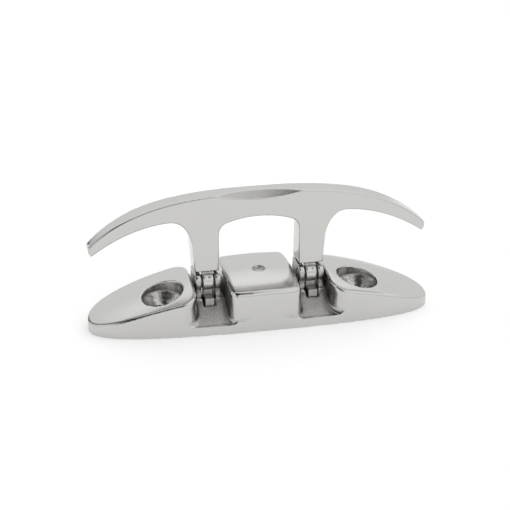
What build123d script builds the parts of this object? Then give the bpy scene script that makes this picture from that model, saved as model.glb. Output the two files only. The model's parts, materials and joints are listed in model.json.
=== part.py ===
from build123d import *
from math import sqrt
import os

# Folding deck cleat, horn raised.
# X runs along the cleat, +Y is the back, the horn folds towards -Y, +Z is up off the deck.
# Origin: middle of the base's footprint, on the deck face.

# ---- base casting ----
half_length = 57.0          # base, tip to middle
half_width = 14.8           # base, front or back edge to middle
tip_y = -2.2                # the two pointed ends lie a little in front of the middle
outline_flat = 0.75         # share of the half length over which the long edges stay nearly straight
outline_blunt = 0.72        # how blunt the pointed ends are
plate_height = 3.1          # thin plate left in front of the channels
crown_height = 16.4         # highest point of the domed top
crown_y = 2.8
crown_long_radius = 136.0   # dome radius along the cleat
crown_cross_radius = 60.0   # dome radius across the cleat
dome_reach = 70.0           # half the dome's length, well past the base's ends
pad_edge_radius = 0.9
block_edge_radius = 0.8     # front and back edges of the centre block
block_side_radius = 2.0     # its edges over the channels

# ---- channels for the legs ----
channel_inner = 11.75       # side of the centre block
channel_outer = 22.2        # side of the end pad
channel_middle = (channel_inner + channel_outer) / 2
channel_half = (channel_outer - channel_inner) / 2
pad_corner_radius = 5.5     # upright corners where a channel meets the long edges
block_corner_radius = 3.0   # the centre block's upright corners at the front
block_back_corner_radius = 2.0
foot_radius = 1.5           # where the channel walls meet their floor
flare_length = 9.0          # how far each channel mouth opens along the cleat
pad_mouth_y = 14.15         # where the flared walls would end, just outside the footprint
block_mouth_y = 14.95
block_corner_y = 14.1       # the block's front corners stand a little behind the plate's edge
ramp_front_y = -14.0
ramp_rear_y = -3.6
floor_height = 7.7          # channel floor under the hinge

# ---- screw holes, for M6 or 1/4 in flat-head screws ----
screw_x = 32.6
screw_y = -3.8
screw_hole_radius = 3.3
head_radius = 6.8
head_seat_height = 9.4      # where the cone starts, below a short straight lip
cone_foot_height = head_seat_height - head_radius + screw_hole_radius  # 90 degree countersink

# ---- hinge ----
leg_x = 17.25               # middle of each leg, lug pair and knuckle
hinge_y = -1.0
hinge_z = 13.5
pin_radius = 1.25
pin_fit = 0.03              # radial running clearance in the knuckle
knuckle_radius = 2.7
knuckle_width = 3.56
washer_thickness = 0.38
washer_gap = 0.02           # play between a washer and the knuckle or lug
washer_radius = 2.2
lug_width = 2.0
lug_radius = 2.7            # ear about the pin
lug_foot_radius = 1.7       # smaller round bump under each ear
lug_foot_bump_y = -1.9
lug_foot_bump_z = 9.2
lug_back = 7.6              # lug length behind the pin
lug_rake = 2.0              # how far the lug's back slopes out towards its foot
lug_foot_z = floor_height - 2  # lugs start inside the floor, so they join it fully
lug_inside = knuckle_width / 2 + washer_thickness + 2 * washer_gap
lug_outside = lug_inside + lug_width

# ---- friction block and its spring, under each knuckle ----
block_width = 2.9
block_front_y = -5.6
block_back_y = 0.6
block_front_height = 9.0
block_step_y = -2.0
slot_gap = 0.35
slot_floor = 5.0
block_lift = 0.1            # the block floats on its spring
block_top = hinge_z - knuckle_radius - 0.08  # just clear of the knuckle
small_chamfer = 0.2         # broken edges of pins and friction blocks
spring_radius = 0.9
spring_wire = 0.2
spring_pitch = 0.7
spring_y = -2.5
spring_bottom = 2.4
spring_bore_radius = 1.15
spring_gap = 0.04           # between the spring's top and the block
spring_length = slot_floor + block_lift - spring_bottom - 2 * spring_wire - spring_gap

# ---- horn casting ----
horn_front_y = -2.0
horn_depth = 9.0            # at the foot of the legs
horn_back_y = horn_front_y + horn_depth
horn_edge_radius = 0.45
horn_top_depth = 6.6        # at the top of the bar
arm_end_depth = 5.0
horn_top = 43.4
bar_x = 20.0                # the top edge passes here, still over the bar ...
bar_z = 42.65
arm_x = 40.0                # ... and here, over the middle of an arm
arm_z = 38.3
horn_end_x = 55.8
horn_end_top = 28.6
horn_end_bottom = 25.5
horn_end_bulge = 0.15       # the blunt end is slightly rounded
horn_end_rake = 0.8         # and cut back a little at the bottom
arm_under_x = 45.0          # the underside of an arm passes here ...
arm_under_z = 31.2
arm_inner_x = 35.0          # ... and here, before its root at the leg
arm_inner_z = 34.35
arm_root_x = 30.5
arm_root_z = 34.95
leg_bottom = 17.2
leg_inner = 13.3
leg_outer_bottom = 21.4
leg_outer_top = 22.2
leg_outer_top_z = 27.0
leg_half_width = 4.0
armpit_x = leg_outer_top + 2.0    # pulls the curve under the arm into its corner
armpit_z = arm_root_z + 0.8
window_top = 35.15
window_corner_x = 9.6
window_corner_top = 33.75
window_corner_bottom = 29.6
window_corner_z = 33.0      # pulls the window's upper corner outwards
heel_bottom = 16.28
heel_y = 3.4
heel_back_y = horn_back_y - 0.3
neck_top_z = leg_bottom + 0.5
neck_front_y = horn_front_y + 0.7  # set back, so the leg's bottom edge shows
neck_front_z = hinge_z + 1.9
neck_back_z = hinge_z + 0.3
neck_back_y = hinge_y + 3.4

scallop_back = 3.0          # how far the finger scallop reaches back over the top of the bar
scallop_down = 2.2          # and down its front
scallop_radius = 76.0

# ---- dimple in the centre block ----
dimple_y = -0.6
dimple_radius = 2.0
dimple_floor = 15.6         # 0.7 below the top at this place

os.makedirs("parts", exist_ok=True)

sides = {"left": -1, "right": 1}


def base_outline():
    """Footprint of the base: four quarter curves, blunt at the ends and flat along the long edges."""
    for edge_y in (-half_width, half_width):
        reach = edge_y - tip_y
        for side in (1, -1):
            Bezier(
                (0, edge_y),
                (side * outline_flat * half_length, edge_y),
                (side * half_length, tip_y + outline_blunt * reach),
                (side * half_length, tip_y),
            )


# Dome: a barrel turned about a long axis under the base. The body is cut to its skin.
with BuildPart() as dome:
    with BuildSketch(Plane.XZ.offset(-crown_y)) as dome_profile:
        with BuildLine():
            end_height = crown_height - crown_long_radius + sqrt(crown_long_radius**2 - dome_reach**2)
            axis_height = crown_height - crown_cross_radius
            ThreePointArc((-dome_reach, end_height), (0, crown_height), (dome_reach, end_height))
            Polyline(
                (dome_reach, end_height),
                (dome_reach, axis_height),
                (-dome_reach, axis_height),
                (-dome_reach, end_height),
            )
        make_face()
    revolve(axis=Axis((0, crown_y, axis_height), (1, 0, 0)))

# Channels: what is cut away for the legs, down to a floor that ramps up towards the hinge.
# Their walls flare out at both mouths, so the pads and the centre block have rounded corners.
with BuildPart() as channels:
    with BuildSketch() as channel_plan:
        for side in (1, -1):
            with BuildLine():
                Polyline(
                    (side * (channel_inner - flare_length), -block_mouth_y),
                    (side * channel_inner, -block_corner_y),
                    (side * channel_inner, block_mouth_y),
                    (side * (channel_inner - flare_length), block_mouth_y),
                    (side * (channel_inner - flare_length), half_length),
                    (side * (channel_outer + flare_length), half_length),
                    (side * (channel_outer + flare_length), pad_mouth_y),
                    (side * channel_outer, pad_mouth_y),
                    (side * channel_outer, -pad_mouth_y),
                    (side * (channel_outer + flare_length), -pad_mouth_y),
                    (side * (channel_outer + flare_length), -half_length),
                    (side * (channel_inner - flare_length), -half_length),
                    close=True,
                )
            make_face()
        corners = channel_plan.vertices()
        inner = corners.filter_by(lambda v: abs(abs(v.X) - channel_inner) < 0.01)
        fillet(inner.filter_by(lambda v: v.Y < 0), block_corner_radius)
        corners = channel_plan.vertices()
        inner = corners.filter_by(lambda v: abs(abs(v.X) - channel_inner) < 0.01)
        fillet(inner.filter_by(lambda v: v.Y > block_mouth_y - 0.01), block_back_corner_radius)
        corners = channel_plan.vertices()
        fillet(corners.filter_by(lambda v: abs(abs(v.X) - channel_outer) < 0.01), pad_corner_radius)
    extrude(amount=crown_height + 2)
    with BuildSketch(Plane.YZ.offset(-half_length)):
        with BuildLine():
            Polyline(
                (-half_length - 1, -1),
                (-half_length - 1, plate_height),
                (ramp_front_y, plate_height),
                (ramp_rear_y, floor_height),
                (half_length + 1, floor_height),
                (half_length + 1, -1),
                close=True,
            )
        make_face()
    extrude(amount=2 * half_length, mode=Mode.SUBTRACT)
    floors = channels.faces().filter_by(GeomType.PLANE).filter_by(lambda f: f.normal_at().Z < -0.5)
    feet = floors.edges().filter_by(lambda e: abs(abs(e.center().X) - channel_middle) > channel_half - 0.01)
    fillet(feet.filter_by(lambda e: abs(e.center().Y) < half_width), foot_radius)

# Base: one lens-shaped solid under the dome, with the two channels cut across it
with BuildPart() as base:
    with BuildSketch():
        with BuildLine():
            base_outline()
        make_face()
    extrude(amount=crown_height + 2)
    add(dome.part, mode=Mode.INTERSECT)
    add(channels.part, mode=Mode.SUBTRACT)
    skin_faces = base.faces().filter_by(GeomType.REVOLUTION)
    block_rim = skin_faces.sort_by(lambda f: abs(f.center().X))[0].edges()
    side_rims = block_rim.filter_by(lambda e: abs(e.center().X) > channel_inner - 0.1)
    fillet(side_rims, block_side_radius)
    skin_faces = base.faces().filter_by(GeomType.REVOLUTION)
    block_rim = skin_faces.sort_by(lambda f: abs(f.center().X))[0].edges()
    end_rims = block_rim.filter_by(lambda e: abs(e.center().X) < channel_inner / 2)
    fillet(end_rims, block_edge_radius)
    skin_faces = base.faces().filter_by(GeomType.REVOLUTION)
    pad_skins = skin_faces.filter_by(lambda f: abs(f.center().X) > channel_outer)
    fillet(pad_skins.edges(), pad_edge_radius)

    # Hinge lugs, two in each channel: a round ear about the pin over a smaller bump, long and flat behind
    for side in (1, -1):
        for start in (-lug_outside, lug_inside):
            with BuildSketch(Plane.YZ.offset(side * leg_x + start)):
                with Locations((hinge_y, hinge_z)):
                    Circle(lug_radius)
                with Locations((lug_foot_bump_y, lug_foot_bump_z)):
                    Circle(lug_foot_radius)
                with BuildLine():
                    Polyline(
                        (lug_foot_bump_y, lug_foot_z),
                        (lug_foot_bump_y, lug_foot_bump_z),
                        (hinge_y, hinge_z),
                        (hinge_y, hinge_z + lug_radius),
                        (hinge_y + lug_back, hinge_z + lug_radius),
                        (hinge_y + lug_back + lug_rake, lug_foot_z),
                        close=True,
                    )
                make_face()
            extrude(amount=lug_width)
        with BuildSketch(Plane.YZ.offset(side * leg_x - lug_outside)):
            with Locations((hinge_y, hinge_z)):
                Circle(pin_radius)
        extrude(amount=2 * lug_outside, mode=Mode.SUBTRACT)

    # Countersunk screw holes with a short straight lip under the sloping pad top
    for side in (1, -1):
        with BuildSketch(Plane.XZ.offset(-screw_y)):
            with BuildLine():
                Polyline(
                    (side * screw_x, -1),
                    (side * (screw_x + screw_hole_radius), -1),
                    (side * (screw_x + screw_hole_radius), cone_foot_height),
                    (side * (screw_x + head_radius), head_seat_height),
                    (side * (screw_x + head_radius), crown_height + 2),
                    (side * screw_x, crown_height + 2),
                    close=True,
                )
            make_face()
        revolve(axis=Axis((side * screw_x, screw_y, 0), (0, 0, 1)), mode=Mode.SUBTRACT)

    # Dimple in the middle of the centre block
    with BuildSketch(Plane.XY.offset(dimple_floor)):
        with Locations((0, dimple_y)):
            Circle(dimple_radius)
    extrude(amount=3, mode=Mode.SUBTRACT)

    # Slots for the friction blocks, with a bore below each for its spring
    for side in (1, -1):
        with BuildSketch(Plane.XY.offset(slot_floor)):
            with Locations((side * leg_x, (block_front_y + block_back_y) / 2)):
                Rectangle(block_width + 2 * slot_gap, block_back_y - block_front_y + 2 * slot_gap)
        extrude(amount=floor_height - slot_floor + 1, mode=Mode.SUBTRACT)
        with BuildSketch(Plane.XY.offset(spring_bottom)):
            with Locations((side * leg_x, spring_y)):
                Circle(spring_bore_radius)
        extrude(amount=slot_floor - spring_bottom, mode=Mode.SUBTRACT)

base.part.label = "base"

# Horn: front profile pushed back, then trimmed behind to a draft and in plan to slimmer arms
with BuildPart() as horn:
    with BuildSketch(Plane.XZ.offset(-horn_front_y)):
        with BuildLine():
            Line((0, window_top), (0, horn_top))
            Spline(
                (0, horn_top),
                (bar_x, bar_z),
                (arm_x, arm_z),
                (horn_end_x, horn_end_top),
                tangents=[(1, 0), (0.72, -0.7)],
            )
            ThreePointArc(
                (horn_end_x, horn_end_top),
                (horn_end_x + horn_end_bulge, (horn_end_top + horn_end_bottom) / 2),
                (horn_end_x - horn_end_rake, horn_end_bottom),
            )
            Spline(
                (horn_end_x - horn_end_rake, horn_end_bottom),
                (arm_under_x, arm_under_z),
                (arm_inner_x, arm_inner_z),
                (arm_root_x, arm_root_z),
            )
            Bezier(
                (arm_root_x, arm_root_z),
                (armpit_x, armpit_z),
                (leg_outer_top, leg_outer_top_z),
            )
            Polyline(
                (leg_outer_top, leg_outer_top_z),
                (leg_outer_bottom, leg_bottom),
                (leg_inner, leg_bottom),
                (leg_inner, window_corner_bottom),
            )
            Bezier(
                (leg_inner, window_corner_bottom),
                (leg_inner - 0.1, window_corner_z),
                (window_corner_x, window_corner_top),
            )
            Spline((window_corner_x, window_corner_top), (0, window_top), tangents=[(-0.95, 0.3), (-1, 0)])
        make_face()
        mirror(about=Plane.YZ)
    extrude(amount=-horn_depth)
    with BuildSketch(Plane.YZ.offset(-half_length)):
        with BuildLine():
            Polyline(
                (horn_back_y + 0.5, leg_bottom - 2),
                (horn_back_y, leg_bottom),
                (horn_front_y + horn_top_depth, horn_top + 1),
                (horn_back_y + 5, horn_top + 1),
                close=True,
            )
        make_face()
    extrude(amount=2 * half_length, mode=Mode.SUBTRACT)
    with BuildSketch():
        with BuildLine():
            Line((-half_length, horn_front_y - 1), (half_length, horn_front_y - 1))
            Line((half_length, horn_front_y - 1), (half_length, horn_front_y + arm_end_depth))
            ThreePointArc(
                (half_length, horn_front_y + arm_end_depth),
                (0, horn_back_y),
                (-half_length, horn_front_y + arm_end_depth),
            )
            Line((-half_length, horn_front_y + arm_end_depth), (-half_length, horn_front_y - 1))
        make_face()
    extrude(amount=horn_top + 1, mode=Mode.INTERSECT)
    front_edges = horn.faces().filter_by(Axis.Y).sort_by(Axis.Y)[0].edges()
    fillet(front_edges.filter_by(lambda e: e.center().Z > leg_bottom + 0.5), horn_edge_radius)

    # Finger scallop: a shallow scoop across the front top edge of the bar
    scoop_slope = Vector(0, scallop_back, scallop_down).normalized()
    scoop_out = Vector(0, -scallop_down, scallop_back).normalized()
    scoop_middle = Vector(0, horn_front_y + scallop_back / 2, horn_top - scallop_down / 2)
    scoop_plane = Plane(scoop_middle + scoop_out * scallop_radius, x_dir=(1, 0, 0), z_dir=scoop_slope)
    with BuildSketch(scoop_plane):
        Circle(scallop_radius)
    extrude(amount=10, both=True, mode=Mode.SUBTRACT)

    # Heels: the back of each leg reaches down to rest on its lugs
    for side in (1, -1):
        with BuildSketch(Plane.YZ.offset(side * leg_x - leg_half_width)):
            with BuildLine():
                Polyline(
                    (heel_y, heel_bottom),
                    (heel_back_y, heel_bottom),
                    (heel_back_y, leg_bottom + 1),
                    (heel_y - 1, leg_bottom + 1),
                    close=True,
                )
            make_face()
        extrude(amount=2 * leg_half_width)

    # Necks and knuckles
    for side in (1, -1):
        with BuildSketch(Plane.YZ.offset(side * leg_x - knuckle_width / 2)):
            with Locations((hinge_y, hinge_z)):
                Circle(knuckle_radius)
            with BuildLine():
                Polyline(
                    (neck_front_y, neck_top_z),
                    (neck_front_y, neck_front_z),
                    (hinge_y, hinge_z),
                    (hinge_y + knuckle_radius, neck_back_z),
                    (neck_back_y, neck_top_z),
                    close=True,
                )
            make_face()
            with Locations((hinge_y, hinge_z)):
                Circle(pin_radius + pin_fit, mode=Mode.SUBTRACT)
        extrude(amount=knuckle_width)
horn.part.label = "horn"

export_step(base.part, "parts/base.step")
export_step(horn.part, "parts/horn.step")

for name, side in sides.items():
    # Hinge pin, pressed into both lugs
    with BuildPart() as hinge_pin:
        with BuildSketch(Plane.YZ.offset(side * leg_x - lug_outside)):
            with Locations((hinge_y, hinge_z)):
                Circle(pin_radius)
        extrude(amount=2 * lug_outside)
        chamfer(hinge_pin.edges().filter_by(GeomType.CIRCLE), small_chamfer)
    hinge_pin.part.label = "hinge_pin_" + name
    export_step(hinge_pin.part, "parts/hinge_pin_" + name + ".step")

    # Two thrust washers, one each side of the knuckle
    with BuildPart() as thrust_washers:
        for start in (knuckle_width / 2 + washer_gap, -knuckle_width / 2 - washer_gap - washer_thickness):
            with BuildSketch(Plane.YZ.offset(side * leg_x + start)):
                with Locations((hinge_y, hinge_z)):
                    Circle(washer_radius)
                    Circle(pin_radius + pin_fit, mode=Mode.SUBTRACT)
            extrude(amount=washer_thickness)
    thrust_washers.part.label = "thrust_washers_" + name
    export_step(thrust_washers.part, "parts/thrust_washers_" + name + ".step")

    # Friction block: a low toe in front, a taller heel that rubs on the knuckle
    with BuildPart() as friction_block:
        with BuildSketch(Plane.YZ.offset(side * leg_x - block_width / 2)):
            with BuildLine():
                Polyline(
                    (block_front_y, slot_floor + block_lift),
                    (block_front_y, block_front_height),
                    (block_step_y, block_front_height),
                    (block_step_y, block_top),
                    (block_back_y, block_top),
                    (block_back_y, slot_floor + block_lift),
                    close=True,
                )
            make_face()
        extrude(amount=block_width)
        chamfer(friction_block.edges().filter_by(Axis.X), small_chamfer)
    friction_block.part.label = "friction_block_" + name
    export_step(friction_block.part, "parts/friction_block_" + name + ".step")

    # Friction spring: a short compression coil in the bore under the block
    with BuildPart() as friction_spring:
        with BuildLine():
            Helix(
                pitch=spring_pitch,
                height=spring_length,
                radius=spring_radius,
                center=(side * leg_x, spring_y, spring_bottom + spring_wire),
            )
        with BuildSketch(
            Plane((side * leg_x + spring_radius, spring_y, spring_bottom + spring_wire), z_dir=(0, 1, 0))
        ):
            Circle(spring_wire)
        sweep(is_frenet=True)
    friction_spring.part.label = "friction_spring_" + name
    export_step(friction_spring.part, "parts/friction_spring_" + name + ".step")
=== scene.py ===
import json
from math import cos, radians, sin

import bpy
import numpy as np
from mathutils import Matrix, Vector


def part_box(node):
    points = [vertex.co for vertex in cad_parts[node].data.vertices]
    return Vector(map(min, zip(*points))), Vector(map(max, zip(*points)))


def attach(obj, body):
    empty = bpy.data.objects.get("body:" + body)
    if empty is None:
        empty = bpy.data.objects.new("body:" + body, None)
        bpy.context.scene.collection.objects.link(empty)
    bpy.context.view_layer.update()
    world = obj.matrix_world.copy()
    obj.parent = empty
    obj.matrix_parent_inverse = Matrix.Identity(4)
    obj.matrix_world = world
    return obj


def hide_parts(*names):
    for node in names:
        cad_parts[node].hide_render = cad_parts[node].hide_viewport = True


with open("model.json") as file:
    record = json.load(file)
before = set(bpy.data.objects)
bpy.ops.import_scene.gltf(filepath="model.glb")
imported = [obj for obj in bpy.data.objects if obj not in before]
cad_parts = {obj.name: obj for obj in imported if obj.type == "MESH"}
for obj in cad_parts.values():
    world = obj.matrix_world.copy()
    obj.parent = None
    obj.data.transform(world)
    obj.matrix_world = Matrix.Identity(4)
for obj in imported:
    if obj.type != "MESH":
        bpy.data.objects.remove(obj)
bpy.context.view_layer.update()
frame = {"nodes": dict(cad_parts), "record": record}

scene = bpy.context.scene
record = frame["record"]
mm = 0.001


# ---- View: the camera ----
# A long lens, a little to the left of the cleat and above it, with the whole cleat in the frame.
camera_turn = radians(11.87)
camera_rise = radians(23.5)
camera_distance = 0.5678
aim = Vector((-0.00153, -0.0022, 0.0217))

camera_data = bpy.data.cameras.new("camera")
camera_data.sensor_width = 36
camera_data.lens = 122.8
camera_data.clip_start = 0.01
camera_data.dof.use_dof = False
camera = bpy.data.objects.new("camera", camera_data)
back = Vector((-sin(camera_turn) * cos(camera_rise), -cos(camera_turn) * cos(camera_rise), sin(camera_rise)))
camera.location = aim + back * camera_distance
camera.rotation_euler = back.to_track_quat("Z", "Y").to_euler()
scene.collection.objects.link(camera)
scene.camera = camera
scene.view_settings.view_transform = "Standard"


# ---- Studio: floor, lights and surroundings ----
# A wide white sweep in a bright room that is greyer near the floor. The ceiling is darker over the
# left of the cleat and a black card stands at the left, so that the polished steel has lines to mirror.
def new_material(name):
    material = bpy.data.materials.new(name)
    material.use_nodes = True
    material.node_tree.nodes.clear()
    return material, material.node_tree.nodes, material.node_tree.links


floor_reach = 3.0
floor_drop = 0.05 * mm
floor_mesh = bpy.data.meshes.new("floor")
corners = [(-1, -1), (1, -1), (1, 1), (-1, 1)]
floor_mesh.from_pydata([(x * floor_reach, y * floor_reach, -floor_drop) for x, y in corners], [], [(0, 1, 2, 3)])
floor = bpy.data.objects.new("floor", floor_mesh)
scene.collection.objects.link(floor)
floor_paper, nodes, links = new_material("floor_paper")
shader = nodes.new("ShaderNodeBsdfPrincipled")
shader.inputs["Base Color"].default_value = (0.78, 0.78, 0.78, 1)
shader.inputs["Roughness"].default_value = 0.9
shader.inputs["Specular IOR Level"].default_value = 0.0
shader.inputs["Emission Color"].default_value = (1, 1, 1, 1)
shader.inputs["Emission Strength"].default_value = 0.42
output = nodes.new("ShaderNodeOutputMaterial")
links.new(shader.outputs[0], output.inputs[0])
floor_mesh.materials.append(floor_paper)

world = bpy.data.worlds.new("room")
scene.world = world
world.use_nodes = True
nodes, links = world.node_tree.nodes, world.node_tree.links
nodes.clear()
direction = nodes.new("ShaderNodeTexCoord")
split = nodes.new("ShaderNodeSeparateXYZ")
links.new(direction.outputs["Generated"], split.inputs[0])
height = nodes.new("ShaderNodeValToRGB")
height.color_ramp.elements[0].position = 0.0
height.color_ramp.elements[0].color = (0.80, 0.80, 0.80, 1)
height.color_ramp.elements[1].position = 1.0
height.color_ramp.elements[1].color = (1.0, 1.0, 1.0, 1)
for position, level in ((0.30, 0.93), (0.52, 0.94), (0.70, 1.15)):
    step = height.color_ramp.elements.new(position)
    step.color = (level, level, level, 1)
links.new(split.outputs["Z"], height.inputs[0])
towards = nodes.new("ShaderNodeVectorMath")
towards.operation = "DOT_PRODUCT"
towards.inputs[1].default_value = Vector((-0.30, -0.35, 0.89)).normalized()
links.new(direction.outputs["Generated"], towards.inputs[0])
dark_ceiling = nodes.new("ShaderNodeValToRGB")
dark_ceiling.color_ramp.elements[0].position = 0.86
dark_ceiling.color_ramp.elements[0].color = (1, 1, 1, 1)
dark_ceiling.color_ramp.elements[1].position = 0.95
dark_ceiling.color_ramp.elements[1].color = (0.03, 0.03, 0.03, 1)
links.new(towards.outputs["Value"], dark_ceiling.inputs[0])
sideways = nodes.new("ShaderNodeMapRange")
sideways.inputs["From Min"].default_value = -0.66
sideways.inputs["From Max"].default_value = -0.36
links.new(split.outputs["X"], sideways.inputs["Value"])
black_card = nodes.new("ShaderNodeValToRGB")
black_card.color_ramp.elements[0].position = 0.0
black_card.color_ramp.elements[0].color = (1, 1, 1, 1)
black_card.color_ramp.elements[1].position = 1.0
black_card.color_ramp.elements[1].color = (1, 1, 1, 1)
for position in (0.35, 0.65):
    step = black_card.color_ramp.elements.new(position)
    step.color = (0.05, 0.05, 0.05, 1)
links.new(sideways.outputs[0], black_card.inputs[0])
room_tone = nodes.new("ShaderNodeMix")
shaded = nodes.new("ShaderNodeMix")
for mix in (room_tone, shaded):
    mix.data_type = "RGBA"
    mix.blend_type = "MULTIPLY"
    mix.inputs[0].default_value = 1.0
links.new(height.outputs[0], shaded.inputs[6])
links.new(dark_ceiling.outputs[0], shaded.inputs[7])
links.new(shaded.outputs[2], room_tone.inputs[6])
links.new(black_card.outputs[0], room_tone.inputs[7])
room_light = nodes.new("ShaderNodeBackground")
room_light.inputs["Strength"].default_value = 1.0
links.new(room_tone.outputs[2], room_light.inputs[0])
output = nodes.new("ShaderNodeOutputWorld")
links.new(room_light.outputs[0], output.inputs[0])


def soft_box(name, place, size, power):
    light = bpy.data.lights.new(name, "AREA")
    light.shape = "RECTANGLE"
    light.size, light.size_y = size
    light.energy = power
    lamp = bpy.data.objects.new(name, light)
    lamp.location = place
    lamp.rotation_euler = (Vector(place) - aim).to_track_quat("Z", "Y").to_euler()
    scene.collection.objects.link(lamp)


soft_box("soft_box_back", (0.35, 0.9, 0.95), (0.8, 0.5), 0.12)


# ---- Base ----
# One stainless casting: two end pads and a centre block on a thin plate, with two channels for the
# legs. Its outside is polished; the channel floors and countersinks keep a little of the cast skin.
# The channel walls and lugs get the cast-skin mask at full strength, which also paints shade on them.
def measured(obj):
    """Vertices, normals and edges of a mesh object, as arrays."""
    mesh = obj.data
    count = len(mesh.vertices)
    places = np.empty(count * 3)
    mesh.vertices.foreach_get("co", places)
    normals = np.empty(count * 3)
    mesh.vertices.foreach_get("normal", normals)
    edges = np.empty(len(mesh.edges) * 2, dtype=np.int64)
    mesh.edges.foreach_get("vertices", edges)
    return places.reshape(-1, 3), normals.reshape(-1, 3), edges.reshape(-1, 2)


def spread(values, edges, times):
    """Each vertex's value averaged with its neighbours', a number of times."""
    count = len(values)
    ends = np.concatenate((edges[:, 0], edges[:, 1]))
    others = np.concatenate((edges[:, 1], edges[:, 0]))
    share = np.maximum(np.bincount(ends, minlength=count), 1)
    for _ in range(times):
        around = np.bincount(ends, weights=values[others], minlength=count) / share
        values = 0.5 * values + 0.5 * around
    return values


def keep_value(obj, name, values):
    """Stores one number per vertex, for the material to read."""
    layer = obj.data.attributes.new(name, "FLOAT", "POINT")
    layer.data.foreach_set("value", np.ascontiguousarray(values, dtype=np.float32))


def cast_copy(node, name, voxel, rounds, sweeps, crease):
    """An even mesh of a casting, arrises rubbed round and open faces evened out, edges and hollows marked."""
    source = frame["nodes"][node]
    mesh = source.data.copy()
    mesh.materials.clear()
    piece = bpy.data.objects.new(name, mesh)
    scene.collection.objects.link(piece)
    weld = piece.modifiers.new("weld", "WELD")
    weld.merge_threshold = 0.000002
    even = piece.modifiers.new("even", "REMESH")
    even.mode = "VOXEL"
    even.voxel_size = voxel
    even.use_smooth_shade = True
    rub = piece.modifiers.new("rub", "SMOOTH")
    rub.factor = 0.5
    rub.iterations = rounds
    bpy.context.view_layer.update()
    finished = bpy.data.meshes.new_from_object(piece.evaluated_get(bpy.context.evaluated_depsgraph_get()))
    piece.modifiers.clear()
    piece.data = finished
    finished.name = name
    finished.shade_smooth()
    places, normals, edges = measured(piece)
    ends = np.concatenate((edges[:, 0], edges[:, 1]))
    others = np.concatenate((edges[:, 1], edges[:, 0]))
    share = np.maximum(np.bincount(ends, minlength=len(places)), 1)
    rise = ((places[ends] - places[others]) * normals[ends]).sum(axis=1) / voxel
    bend = spread(np.bincount(ends, weights=rise, minlength=len(places)) / share, edges, 3)
    # Away from every arris the faces are evened out, which a polishing belt does to a casting
    open_face = 1 - np.clip(spread(np.where(np.abs(bend) > crease, 1.0, 0.0), edges, 6) / 0.08, 0, 1)
    for _ in range(sweeps):
        for axis in range(3):
            around = np.bincount(ends, weights=places[others, axis], minlength=len(places)) / share
            places[:, axis] += 0.5 * open_face * (around - places[:, axis])
    finished.vertices.foreach_set("co", places.ravel())
    finished.update()
    arris_bend, hollow_bend = 0.10, 0.06
    keep_value(piece, "edge", np.clip(bend / arris_bend, 0, 1))
    keep_value(piece, "hollow", spread(np.clip(-bend / hollow_bend, 0, 1), edges, 4))
    return piece


def group_of(name, inputs, outputs):
    """An empty shader node group with float or colour sockets, and its input and output nodes."""
    group = bpy.data.node_groups.new(name, "ShaderNodeTree")
    for label, kind, value in inputs:
        socket = group.interface.new_socket(label, in_out="INPUT", socket_type=kind)
        if value is not None:
            socket.default_value = value
    for label, kind in outputs:
        group.interface.new_socket(label, in_out="OUTPUT", socket_type=kind)
    return group, group.nodes.new("NodeGroupInput"), group.nodes.new("NodeGroupOutput")


def noise_of(tree, scale, detail, vector, roughness=0.5):
    noise = tree.nodes.new("ShaderNodeTexNoise")
    noise.inputs["Scale"].default_value = scale
    noise.inputs["Detail"].default_value = detail
    noise.inputs["Roughness"].default_value = roughness
    tree.links.new(vector, noise.inputs["Vector"])
    return noise.outputs["Fac"]


def combine(tree, operation, first, second, third=None):
    """One Math node; each input is a number or another node's output."""
    node = tree.nodes.new("ShaderNodeMath")
    node.operation = operation
    for socket, value in zip(node.inputs, (first, second, third)):
        if value is None:
            continue
        if isinstance(value, (int, float)):
            socket.default_value = value
        else:
            tree.links.new(value, socket)
    return node.outputs[0]


# Polish: the fine scratches that a buffing wheel leaves along the piece, over a faint cloudiness
polish, given, made = group_of(
    "polish",
    [("Vector", "NodeSocketVector", None), ("Scratch", "NodeSocketFloat", 0.5), ("Haze", "NodeSocketFloat", 0.5)],
    [("Roughness", "NodeSocketFloat"), ("Height", "NodeSocketFloat"), ("Cloud", "NodeSocketFloat")],
)
stretch = polish.nodes.new("ShaderNodeMapping")
stretch.inputs["Scale"].default_value = (260, 2600, 2600)
polish.links.new(given.outputs["Vector"], stretch.inputs["Vector"])
scratches = noise_of(polish, 1.0, 3, stretch.outputs[0], 0.6)
cloud = noise_of(polish, 90, 4, given.outputs["Vector"])
scratch_part = combine(polish, "MULTIPLY", combine(polish, "SUBTRACT", scratches, 0.5), given.outputs["Scratch"])
haze_part = combine(polish, "MULTIPLY", combine(polish, "SUBTRACT", cloud, 0.5), given.outputs["Haze"])
polish.links.new(combine(polish, "ADD", scratch_part, haze_part), made.inputs["Roughness"])
polish.links.new(scratch_part, made.inputs["Height"])
polish.links.new(cloud, made.inputs["Cloud"])

# Cast skin: the fine pebbling of a surface that came out of the mould and was only blasted
cast_skin, given, made = group_of(
    "cast_skin",
    [("Vector", "NodeSocketVector", None), ("Size", "NodeSocketFloat", 2200.0)],
    [("Height", "NodeSocketFloat"), ("Speck", "NodeSocketFloat")],
)
grains = cast_skin.nodes.new("ShaderNodeTexVoronoi")
cast_skin.links.new(given.outputs["Vector"], grains.inputs["Vector"])
cast_skin.links.new(given.outputs["Size"], grains.inputs["Scale"])
lumps = noise_of(cast_skin, 700, 5, given.outputs["Vector"], 0.65)
cast_skin.links.new(combine(cast_skin, "ADD", grains.outputs["Distance"], lumps), made.inputs["Height"])
cast_skin.links.new(lumps, made.inputs["Speck"])


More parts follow.
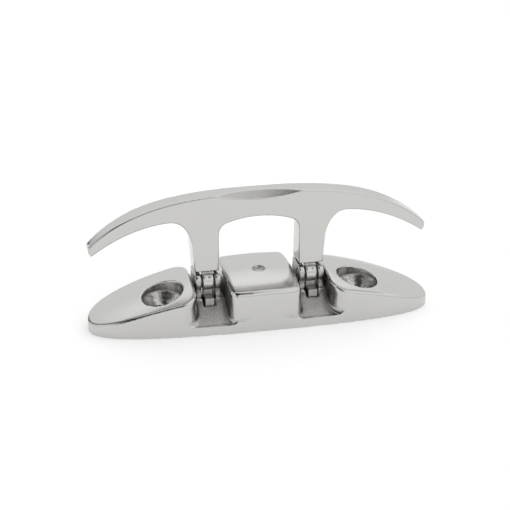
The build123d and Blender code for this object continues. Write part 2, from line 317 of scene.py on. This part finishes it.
def cast_steel(name, tint, shine, rough_skin):
    """Polished cast stainless. Attributes say where it is rubbed, unpolished or drilled, and where painted shade
    darkens the hollows.
    """
    material, nodes, links = new_material(name)
    tree = material.node_tree
    coordinates = nodes.new("ShaderNodeTexCoord").outputs["Object"]
    attribute = {}
    for label in ("edge", "hollow", "cast_skin", "drilled"):
        node = nodes.new("ShaderNodeAttribute")
        node.attribute_name = label
        attribute[label] = node.outputs["Fac"]
    buffed = nodes.new("ShaderNodeGroup")
    buffed.node_tree = polish
    buffed.inputs["Scratch"].default_value = 0.12
    buffed.inputs["Haze"].default_value = 0.10
    links.new(coordinates, buffed.inputs["Vector"])
    skin = nodes.new("ShaderNodeGroup")
    skin.node_tree = cast_skin
    skin.inputs["Size"].default_value = 2400
    links.new(coordinates, skin.inputs["Vector"])

    raw = attribute["cast_skin"]
    dull = combine(tree, "MULTIPLY", raw, rough_skin - shine)
    rubbed = combine(tree, "MULTIPLY", attribute["edge"], -0.04)
    grimy = combine(tree, "MULTIPLY", attribute["hollow"], 0.12)
    roughness = combine(tree, "ADD", buffed.outputs["Roughness"], shine)
    for part in (dull, rubbed, grimy):
        roughness = combine(tree, "ADD", roughness, part)
    speck = combine(tree, "MULTIPLY", combine(tree, "SUBTRACT", skin.outputs["Speck"], 0.5), raw)
    roughness = combine(tree, "MULTIPLY_ADD", speck, 0.3, roughness)

    tone = nodes.new("ShaderNodeMix")
    tone.data_type = "RGBA"
    tone.inputs[6].default_value = (*tint, 1)
    # Shaded copy of the tint. The base colour is pulled toward it as painted shade in hollows and creases
    # (hollow), as painted shade together with duller cast skin where the cast_skin mask is set, and by cast-skin
    # specks, cloudiness and countersink streaks.
    tone.inputs[7].default_value = (tint[0] * 0.42, tint[1] * 0.41, tint[2] * 0.39, 1)
    tone_and_painted_shade = combine(tree, "MULTIPLY", attribute["hollow"], 0.75)
    tone_and_painted_shade = combine(tree, "MULTIPLY_ADD", speck, 0.6, tone_and_painted_shade)
    tone_and_painted_shade = combine(tree, "MULTIPLY_ADD", raw, 0.75, tone_and_painted_shade)
    tone_and_painted_shade = combine(tree, "MULTIPLY_ADD", combine(tree, "SUBTRACT", buffed.outputs["Cloud"], 0.5), 0.10, tone_and_painted_shade)
    upright = nodes.new("ShaderNodeMapping")
    upright.inputs["Scale"].default_value = (1300, 1300, 90)
    links.new(coordinates, upright.inputs["Vector"])
    streaks = combine(tree, "SUBTRACT", noise_of(tree, 1.0, 2, upright.outputs[0]), 0.5)
    tone_and_painted_shade = combine(tree, "MULTIPLY_ADD", combine(tree, "MULTIPLY", streaks, attribute["drilled"]), 2.2, tone_and_painted_shade)
    links.new(combine(tree, "MINIMUM", combine(tree, "MAXIMUM", tone_and_painted_shade, 0.0), 1.0), tone.inputs[0])

    relief = combine(tree, "MULTIPLY", skin.outputs["Height"], raw)
    relief = combine(tree, "MULTIPLY_ADD", buffed.outputs["Height"], 0.05, relief)
    bump = nodes.new("ShaderNodeBump")
    bump.inputs["Strength"].default_value = 0.35
    bump.inputs["Distance"].default_value = 0.00012
    links.new(relief, bump.inputs["Height"])

    shader = nodes.new("ShaderNodeBsdfPrincipled")
    shader.inputs["Metallic"].default_value = 1.0
    links.new(tone.outputs[2], shader.inputs["Base Color"])
    links.new(roughness, shader.inputs["Roughness"])
    links.new(bump.outputs[0], shader.inputs["Normal"])
    output = nodes.new("ShaderNodeOutputMaterial")
    links.new(shader.outputs[0], output.inputs[0])
    return material


def ramp(values, low, high):
    return np.clip((values - low) / (high - low), 0, 1)


base = cast_copy("base", "base_casting", voxel=0.34 * mm, rounds=2, sweeps=70, crease=0.012)
places, normals, edges = measured(base)
channel_inner, channel_outer = 11.75 * mm, 22.2 * mm
leg_x = 17.25 * mm
across = np.abs(places[:, 0])
between = ramp(across, channel_inner - 0.2 * mm, channel_inner)
between *= ramp(-across, -channel_outer - 0.2 * mm, -channel_outer)
floor_part = between * ramp(-places[:, 2], -9.0 * mm, -8.2 * mm) * ramp(normals[:, 2], 0.35, 0.8)
wall_part = between * ramp(np.abs(normals[:, 0]), 0.6, 0.9) * ramp(-places[:, 2], -15 * mm, -11 * mm)
lug_part = ramp(-np.abs(across - leg_x), -4.6 * mm, -4.4 * mm) * ramp(places[:, 2], 8 * mm, 9 * mm)
lug_part *= ramp(-places[:, 2], -15.5 * mm, -12.5 * mm)
mount = [m for m in record["mounts"] if m["name"] == "screw_holes"][0]
screw_x = mount["dims"]["spacing_x_mm"] * mm / 2
screw_y = mount["pos_m"][1]
from_screw = np.hypot(across - screw_x, places[:, 1] - screw_y)
countersink = ramp(-from_screw, -6.9 * mm, -6.5 * mm) * ramp(places[:, 2], 2 * mm, 3 * mm)
dimple_y = -0.6 * mm
from_dimple = np.hypot(places[:, 0], places[:, 1] - dimple_y)
dimple = ramp(-from_dimple, -2.7 * mm, -2.3 * mm) * ramp(places[:, 2], 14 * mm, 15 * mm)
# Walls and lugs deep in the channels get the strongest mask: duller cast skin and painted shade together.
unpolished_and_shaded = np.maximum.reduce((0.45 * floor_part, wall_part, 0.9 * lug_part, 0.25 * countersink, 0.3 * dimple))
keep_value(base, "cast_skin", spread(unpolished_and_shaded, edges, 2))
keep_value(base, "drilled", countersink)
# Painted shade in the hollows, weakened round the dimple in the centre block's top.
hollow = base.data.attributes["hollow"].data
hollow_shade = np.empty(len(places))
hollow.foreach_get("value", hollow_shade)
hollow_shade *= 0.3 + 0.7 * ramp(from_dimple, 3.0 * mm, 4.0 * mm)
hollow.foreach_set("value", hollow_shade.astype(np.float32))
base.data.materials.append(cast_steel("base_steel", (0.575, 0.57, 0.555), 0.17, 0.38))
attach(base, "root")
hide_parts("base")


# ---- Horn ----
# A stainless casting: a long curved bar on two legs, with a finger scallop in its front top edge.
# It turns on the two hinge pins and folds forward.
horn = cast_copy("horn", "horn_casting", voxel=0.27 * mm, rounds=2, sweeps=120, crease=0.03)
places, normals, edges = measured(horn)
low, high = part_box("horn")
scoop_normal = np.array((0.0, -0.59, 0.81))
scoop = ramp(normals @ scoop_normal, 0.955, 0.985) * ramp(places[:, 2], high[2] - 3.6 * mm, high[2] - 3.0 * mm)
scoop *= ramp(-np.abs(places[:, 0]), -14.0 * mm, -12.5 * mm)
keep_value(horn, "cast_skin", spread(0.4 * scoop, edges, 2))
horn.data.materials.append(cast_steel("horn_steel", (0.575, 0.57, 0.555), 0.17, 0.38))
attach(horn, "horn")
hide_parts("horn")


# ---- Hinge pins ----
# Two short stainless pins, turned from bar and pressed into the lugs, one under each leg.
pin_side = "left", "right"


def turned_steel(name, tint, shine, axis):
    """Bright turned or drawn stainless, with tool marks in rings round an axis."""
    material, nodes, links = new_material(name)
    tree = material.node_tree
    coordinates = nodes.new("ShaderNodeTexCoord").outputs["Object"]
    turn = nodes.new("ShaderNodeMapping")
    turn.inputs["Scale"].default_value = tuple(3.2 if letter == axis else 0.12 for letter in "XYZ")
    links.new(coordinates, turn.inputs["Vector"])
    marks = noise_of(tree, 2600, 2, turn.outputs[0])
    buffed = nodes.new("ShaderNodeGroup")
    buffed.node_tree = polish
    buffed.inputs["Scratch"].default_value = 0.2
    buffed.inputs["Haze"].default_value = 0.2
    links.new(coordinates, buffed.inputs["Vector"])
    tone = nodes.new("ShaderNodeMix")
    tone.data_type = "RGBA"
    tone.inputs[6].default_value = (tint[0] * 0.8, tint[1] * 0.8, tint[2] * 0.79, 1)
    tone.inputs[7].default_value = (*tint, 1)
    links.new(marks, tone.inputs[0])
    bump = nodes.new("ShaderNodeBump")
    bump.inputs["Strength"].default_value = 0.3
    bump.inputs["Distance"].default_value = 0.00002
    links.new(marks, bump.inputs["Height"])
    shader = nodes.new("ShaderNodeBsdfPrincipled")
    shader.inputs["Metallic"].default_value = 1.0
    links.new(tone.outputs[2], shader.inputs["Base Color"])
    links.new(combine(tree, "ADD", buffed.outputs["Roughness"], shine), shader.inputs["Roughness"])
    links.new(bump.outputs[0], shader.inputs["Normal"])
    output = nodes.new("ShaderNodeOutputMaterial")
    links.new(shader.outputs[0], output.inputs[0])
    return material


def finish_node(name, material):
    """Gives a CAD node its finish."""
    node = frame["nodes"][name]
    node.data.materials.clear()
    node.data.materials.append(material)


pin_steel = turned_steel("pin_steel", (0.60, 0.59, 0.575), 0.26, "X")
for side in pin_side:
    finish_node("hinge_pin_" + side, pin_steel)


# ---- Thrust washers ----
# Thin black nylon washers, punched from sheet. One lies each side of a knuckle and takes up the play.
nylon, nodes, links = new_material("washer_nylon")
tree = nylon.node_tree
coordinates = nodes.new("ShaderNodeTexCoord").outputs["Object"]
sheen = noise_of(tree, 1500, 4, coordinates)
tone = nodes.new("ShaderNodeMix")
tone.data_type = "RGBA"
tone.inputs[6].default_value = (0.012, 0.012, 0.013, 1)
tone.inputs[7].default_value = (0.035, 0.034, 0.033, 1)
links.new(sheen, tone.inputs[0])
bump = nodes.new("ShaderNodeBump")
bump.inputs["Strength"].default_value = 0.25
bump.inputs["Distance"].default_value = 0.00003
links.new(sheen, bump.inputs["Height"])
shader = nodes.new("ShaderNodeBsdfPrincipled")
links.new(tone.outputs[2], shader.inputs["Base Color"])
links.new(combine(tree, "MULTIPLY_ADD", sheen, 0.25, 0.4), shader.inputs["Roughness"])
links.new(bump.outputs[0], shader.inputs["Normal"])
output = nodes.new("ShaderNodeOutputMaterial")
links.new(shader.outputs[0], output.inputs[0])
for side in pin_side:
    finish_node("thrust_washers_" + side, nylon)


# ---- Friction blocks ----
# Small cast steel shoes that stand in the channel floors. A spring pushes each one up against its
# knuckle, so that the horn stays where it is put. Tumbled, so the arrises are soft and the faces dull.
block_steel = cast_steel("block_steel", (0.56, 0.55, 0.53), 0.34, 0.45)
for side in pin_side:
    shoe = cast_copy(
        "friction_block_" + side, "friction_shoe_" + side, voxel=0.10 * mm, rounds=4, sweeps=0, crease=0.03
    )
    keep_value(shoe, "cast_skin", np.full(len(shoe.data.vertices), 0.45))
    shoe.data.materials.append(block_steel)
    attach(shoe, "root")
    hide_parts("friction_block_" + side)


# ---- Friction springs ----
# A short compression spring of drawn stainless wire in a bore under each shoe.
spring_tree = bpy.data.node_groups.new("coil_spring", "GeometryNodeTree")
sockets = {}
for label, kind, value in (
    ("Coil radius", "NodeSocketFloat", 0.9 * mm),
    ("Wire radius", "NodeSocketFloat", 0.2 * mm),
    ("Height", "NodeSocketFloat", 2.2 * mm),
    ("Turns", "NodeSocketFloat", 3.2),
    ("Foot", "NodeSocketVector", (0, 0, 0)),
    ("Wire", "NodeSocketMaterial", None),
):
    socket = spring_tree.interface.new_socket(label, in_out="INPUT", socket_type=kind)
    if value is not None:
        socket.default_value = value
    sockets[label] = socket.identifier
spring_tree.interface.new_socket("Geometry", in_out="OUTPUT", socket_type="NodeSocketGeometry")
nodes, links = spring_tree.nodes, spring_tree.links
given, made = nodes.new("NodeGroupInput"), nodes.new("NodeGroupOutput")
coil = nodes.new("GeometryNodeCurveSpiral")
coil.inputs["Resolution"].default_value = 36
links.new(given.outputs["Turns"], coil.inputs["Rotations"])
links.new(given.outputs["Coil radius"], coil.inputs["Start Radius"])
links.new(given.outputs["Coil radius"], coil.inputs["End Radius"])
links.new(given.outputs["Height"], coil.inputs["Height"])
section = nodes.new("GeometryNodeCurvePrimitiveCircle")
section.inputs["Resolution"].default_value = 16
links.new(given.outputs["Wire radius"], section.inputs["Radius"])
wire = nodes.new("GeometryNodeCurveToMesh")
links.new(coil.outputs[0], wire.inputs["Curve"])
links.new(section.outputs[0], wire.inputs["Profile Curve"])
wire.inputs["Fill Caps"].default_value = True
move = nodes.new("GeometryNodeTransform")
links.new(wire.outputs[0], move.inputs["Geometry"])
links.new(given.outputs["Foot"], move.inputs["Translation"])
smooth = nodes.new("GeometryNodeSetShadeSmooth")
links.new(move.outputs[0], smooth.inputs["Geometry"])
real = nodes.new("GeometryNodeRealizeInstances")
links.new(smooth.outputs[0], real.inputs["Geometry"])
painted = nodes.new("GeometryNodeSetMaterial")
links.new(real.outputs[0], painted.inputs["Geometry"])
links.new(given.outputs["Wire"], painted.inputs["Material"])
links.new(painted.outputs[0], made.inputs[0])

spring_wire = turned_steel("spring_wire", (0.52, 0.51, 0.50), 0.3, "Z")
wire_radius = 0.2 * mm
turns = 3.2
for side in pin_side:
    node = "friction_spring_" + side
    low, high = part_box(node)
    spring = bpy.data.objects.new("compression_spring_" + side, bpy.data.meshes.new("spring_start"))
    scene.collection.objects.link(spring)
    maker = spring.modifiers.new("coil", "NODES")
    maker.node_group = spring_tree
    maker[sockets["Coil radius"]] = (high[0] - low[0]) / 2 - wire_radius
    maker[sockets["Wire radius"]] = wire_radius
    maker[sockets["Height"]] = high[2] - low[2] - 2 * wire_radius
    maker[sockets["Turns"]] = turns
    maker[sockets["Foot"]] = ((low[0] + high[0]) / 2, (low[1] + high[1]) / 2, low[2] + wire_radius)
    maker[sockets["Wire"]] = spring_wire
    spring.data.update()
    bpy.context.view_layer.update()
    coil_mesh = bpy.data.meshes.new_from_object(spring.evaluated_get(bpy.context.evaluated_depsgraph_get()))
    spring.modifiers.clear()
    spring.data = coil_mesh
    coil_mesh.name = spring.name
    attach(spring, "root")
    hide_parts(node)
